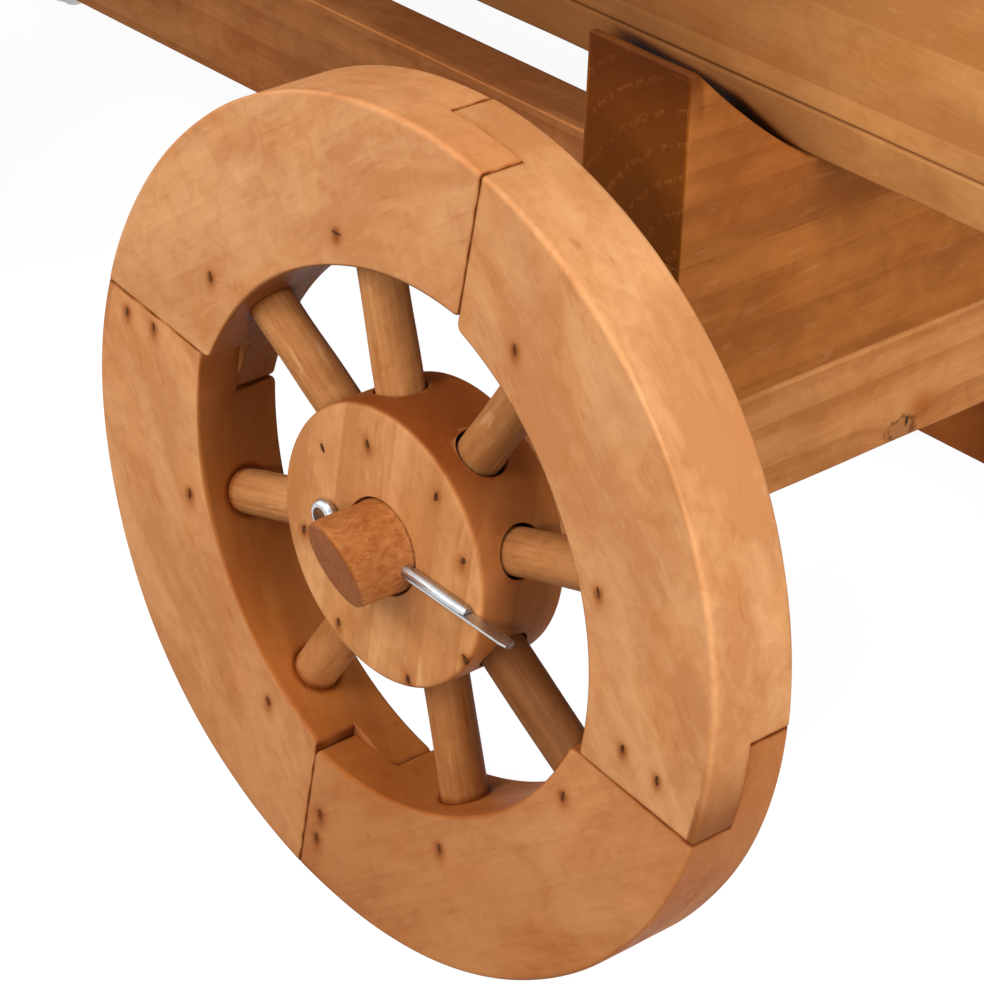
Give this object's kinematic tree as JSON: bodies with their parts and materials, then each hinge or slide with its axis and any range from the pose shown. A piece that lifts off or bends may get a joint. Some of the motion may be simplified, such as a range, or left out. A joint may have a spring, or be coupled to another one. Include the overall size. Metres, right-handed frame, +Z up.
{
  "type": "flower cart stand",
  "caption": "Low wooden flower cart with a plant bed on horned bolsters, spoked wheels with lap-jointed rims held by split pins, a steered front axle and a drawbar.",
  "frame": {"origin": "on the ground, under the middle of the whole cart's bounding box", "axes": "+X along the cart to its tail, so the drawbar points to -X; +Y across the cart to its right side; +Z up"},
  "size_m": [1.2324, 0.6994, 0.3768],
  "materials": {
    "rim_wood": "sealed, satin",
    "hub_wood": "sealed, satin",
    "spoke_wood": "sealed, satin",
    "axle_wood": "sealed, satin",
    "frame_wood": "sealed, satin",
    "bed_wood": "sealed, satin",
    "steel": "zinc plated"
  },
  "bodies": {
    "cart": {"floor_board_left": "bed_wood", "floor_board_middle": "bed_wood", "floor_board_right": "bed_wood", "side_board_left": "bed_wood", "side_board_right": "bed_wood", "end_board_front": "bed_wood", "end_board_rear": "bed_wood", "corner_post_front_left": "bed_wood", "corner_post_front_right": "bed_wood", "corner_post_rear_left": "bed_wood", "corner_post_rear_right": "bed_wood", "front_bolster_lower": "frame_wood", "front_bolster_upper": "frame_wood", "rear_bolster_lower": "frame_wood", "rear_bolster_upper": "frame_wood", "rear_axle": "axle_wood", "reach": "frame_wood", "rear_coach_screw": "steel", "king_bolt": "steel", "king_nut": "steel", "steering_washer_upper": "steel", "steering_washer_lower": "steel", "rear_left_split_pin": "steel", "rear_right_split_pin": "steel"},
    "front_axle_assembly": {"front_axle": "axle_wood", "drawbar_hound_left": "axle_wood", "drawbar_hound_right": "axle_wood", "drawbar_pin": "steel", "front_left_split_pin": "steel", "front_right_split_pin": "steel"},
    "drawbar": {"drawbar_pole": "frame_wood", "drawbar_handle": "spoke_wood"},
    "front_left_wheel": {"front_left_wheel_felloe_1": "rim_wood", "front_left_wheel_felloe_2": "rim_wood", "front_left_wheel_felloe_3": "rim_wood", "front_left_wheel_felloe_4": "rim_wood", "front_left_wheel_hub": "hub_wood"},
    "front_right_wheel": {"front_right_wheel_felloe_1": "rim_wood", "front_right_wheel_felloe_2": "rim_wood", "front_right_wheel_felloe_3": "rim_wood", "front_right_wheel_felloe_4": "rim_wood", "front_right_wheel_hub": "hub_wood"},
    "rear_left_wheel": {"rear_left_wheel_felloe_1": "rim_wood", "rear_left_wheel_felloe_2": "rim_wood", "rear_left_wheel_felloe_3": "rim_wood", "rear_left_wheel_felloe_4": "rim_wood", "rear_left_wheel_hub": "hub_wood", "rear_left_wheel_spoke_1": "spoke_wood", "rear_left_wheel_spoke_2": "spoke_wood", "rear_left_wheel_spoke_3": "spoke_wood", "rear_left_wheel_spoke_4": "spoke_wood", "rear_left_wheel_spoke_5": "spoke_wood", "rear_left_wheel_spoke_6": "spoke_wood", "rear_left_wheel_spoke_7": "spoke_wood", "rear_left_wheel_spoke_8": "spoke_wood"},
    "rear_right_wheel": {"rear_right_wheel_felloe_1": "rim_wood", "rear_right_wheel_felloe_2": "rim_wood", "rear_right_wheel_felloe_3": "rim_wood", "rear_right_wheel_felloe_4": "rim_wood", "rear_right_wheel_hub": "hub_wood"}
  },
  "joints": [
    {"name": "steering", "type": "hinge", "parent": "cart", "child": "front_axle_assembly", "pos_m": [-0.13374, 0, 0.14999], "axis": [0, 0, 1], "range_deg": [-25, 25]},
    {"name": "drawbar_lift", "type": "hinge", "parent": "front_axle_assembly", "child": "drawbar", "pos_m": [-0.22874, 0, 0.14999], "axis": [0, 1, 0], "range_deg": [0, 75]},
    {"name": "front_left_wheel_spin", "type": "hinge", "parent": "front_axle_assembly", "child": "front_left_wheel", "pos_m": [-0.13374, -0.305, 0.14999], "axis": [0, 1, 0], "continuous": true},
    {"name": "front_right_wheel_spin", "type": "hinge", "parent": "front_axle_assembly", "child": "front_right_wheel", "pos_m": [-0.13374, 0.305, 0.14999], "axis": [0, 1, 0], "continuous": true},
    {"name": "rear_left_wheel_spin", "type": "hinge", "parent": "cart", "child": "rear_left_wheel", "pos_m": [0.46626, -0.305, 0.14999], "axis": [0, 1, 0], "continuous": true},
    {"name": "rear_right_wheel_spin", "type": "hinge", "parent": "cart", "child": "rear_right_wheel", "pos_m": [0.46626, 0.305, 0.14999], "axis": [0, 1, 0], "continuous": true}
  ]
}
